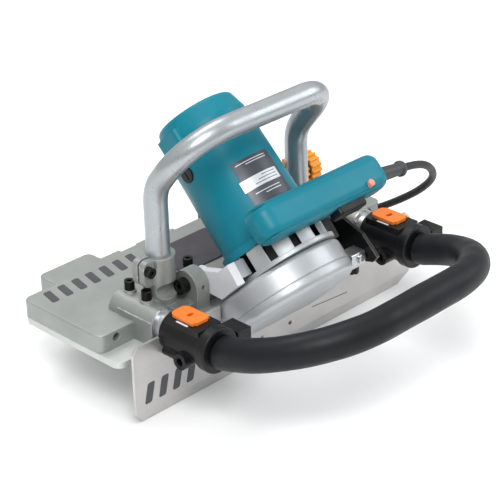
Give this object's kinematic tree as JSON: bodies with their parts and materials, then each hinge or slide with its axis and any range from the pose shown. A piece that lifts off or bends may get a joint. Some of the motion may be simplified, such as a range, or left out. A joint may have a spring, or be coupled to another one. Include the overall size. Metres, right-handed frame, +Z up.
{
  "type": "stone trimming saw on a mitre guide base",
  "caption": "Hand-guided stone trimming saw held at 45 degrees on an aluminium guide base with fence, hoop handle, clamped foam front handle, water tap and coiled cord.",
  "frame": {"origin": "the work corner at mid length, where the underside of the sole (z = 0) meets the rear face of the fence (y = 0)", "axes": "+X along the fence, +Y back over the base plate, +Z up, away from the work"},
  "size_m": [0.421, 0.4603, 0.2715],
  "materials": {
    "teal_plastic": "moulded teal plastic, satin",
    "cast_aluminium": "satin cast",
    "sole_aluminium": "milled, pale",
    "guard_aluminium": "bead blasted",
    "fence_steel": "brushed",
    "hoop_aluminium": "matte anodised",
    "black_plastic": "fine grain",
    "black_steel": "black oxide",
    "foam_rubber": "smooth foam skin",
    "orange_plastic": "moulded",
    "yellow_plastic": "moulded",
    "red_plastic": "moulded",
    "mat_rubber": "smooth sheet",
    "steel": "turned",
    "white_plate": "powder coated",
    "copper": "enamelled copper",
    "core_steel": "laminated",
    "carbon": "pressed carbon",
    "blade_steel": "ground with a grit rim",
    "brass": "turned",
    "cord_rubber": "matte"
  },
  "bodies": {
    "saw": {"motor_housing": "teal_plastic", "rear_cap": "teal_plastic", "gear_case": "guard_aluminium", "bearing_plate": "cast_aluminium", "blade_guard": "guard_aluminium", "handle_front": "teal_plastic", "handle_rear": "teal_plastic", "stator_core": "core_steel", "field_coils": "copper", "brush_holders": "brass", "carbon_brushes": "carbon", "brush_caps": "black_plastic", "motor_bearings": "steel", "spindle_bearing": "steel", "switch_body": "black_plastic", "left_cradle": "white_plate", "right_cradle": "black_steel", "housing_screws": "black_steel", "water_valve": "brass", "hose_coupling": "yellow_plastic", "strain_relief": "cord_rubber", "cord": "cord_rubber", "cord_coil": "cord_rubber", "plug": "cord_rubber"},
    "armature": {"motor_shaft": "steel", "armature_core": "core_steel", "commutator": "copper", "cooling_fan": "black_plastic", "pinion_gear": "steel"},
    "spindle_set": {"drive_gear": "steel", "spindle": "steel", "diamond_blade": "blade_steel", "outer_flange": "steel", "blade_bolt": "black_steel"},
    "trigger": {"trigger": "black_plastic"},
    "lock_button": {"lock_button": "red_plastic"},
    "tap_lever": {"tap_lever": "red_plastic"},
    "base": {"sole_plate": "sole_aluminium", "base_casting": "cast_aluminium", "splash_mat": "mat_rubber", "left_bracket": "cast_aluminium", "right_bracket": "cast_aluminium", "base_screws": "black_steel", "clamp_screws": "black_steel", "pivot_pins": "black_steel", "fence_plate": "fence_steel", "fence_spacers": "cast_aluminium", "hoop_handle": "hoop_aluminium", "coupler_collars": "steel", "left_coupler": "black_plastic", "right_coupler": "black_plastic", "stop_bracket": "black_steel", "stop_block": "steel"},
    "stop_screw": {"stop_screw": "black_plastic"},
    "front_handle": {"handle_tube": "steel", "foam_grip": "foam_rubber"},
    "left_latch": {"left_latch": "orange_plastic"},
    "right_latch": {"right_latch": "orange_plastic"},
    "left_knob": {"left_knob": "black_plastic"},
    "right_knob": {"right_knob": "black_plastic"}
  },
  "joints": [
    {"name": "saw_tilt", "type": "hinge", "parent": "saw", "child": "base", "pos_m": [0, 0.027, 0.046], "axis": [1, 0, 0], "range_deg": [0, 15]},
    {"name": "motor_spin", "type": "hinge", "parent": "saw", "child": "armature", "pos_m": [-0.01, 0.03503, 0.10639], "axis": [0, 0.7071, 0.7071], "continuous": true},
    {"name": "spindle_spin", "type": "hinge", "parent": "saw", "child": "spindle_set", "pos_m": [-0.01, -0.00386, 0.03214], "axis": [0, 0.7071, 0.7071], "continuous": true},
    {"name": "trigger_pull", "type": "slide", "parent": "saw", "child": "trigger", "axis": [0, 0.7071, 0.7071], "range_m": [0, 0.005], "stiffness_N_per_m": 400, "springref_m": -0.002},
    {"name": "lock_press", "type": "slide", "parent": "saw", "child": "lock_button", "axis": [0, 0.7071, -0.7071], "range_m": [0, 0.002], "stiffness_N_per_m": 300, "springref_m": -0.001},
    {"name": "tap_turn", "type": "hinge", "parent": "saw", "child": "tap_lever", "pos_m": [0.07, 0.07, 0.09], "axis": [0, 0, -1], "range_deg": [0, 90]},
    {"name": "handle_slide", "type": "slide", "parent": "base", "child": "front_handle", "axis": [0, -1, 0], "range_m": [0, 0.035]},
    {"name": "left_latch_slide", "type": "slide", "parent": "base", "child": "left_latch", "axis": [0, -1, 0], "range_m": [0, 0.004]},
    {"name": "right_latch_slide", "type": "slide", "parent": "base", "child": "right_latch", "axis": [0, -1, 0], "range_m": [0, 0.004]},
    {"name": "left_knob_turn", "type": "hinge", "parent": "base", "child": "left_knob", "pos_m": [-0.118, -0.044, 0.024], "axis": [1, 0, 0], "range_deg": [0, 90]},
    {"name": "right_knob_turn", "type": "hinge", "parent": "base", "child": "right_knob", "pos_m": [0.158, -0.044, 0.024], "axis": [1, 0, 0], "range_deg": [0, 90]},
    {"name": "stop_screw_turn", "type": "hinge", "parent": "base", "child": "stop_screw", "pos_m": [0.075, -0.029, 0.015], "axis": [0, 0, 1], "range_deg": [-180, 180]}
  ],
  "couplings": [
    {"joint": "spindle_spin", "follows": "motor_spin", "ratio": -0.42857}
  ]
}
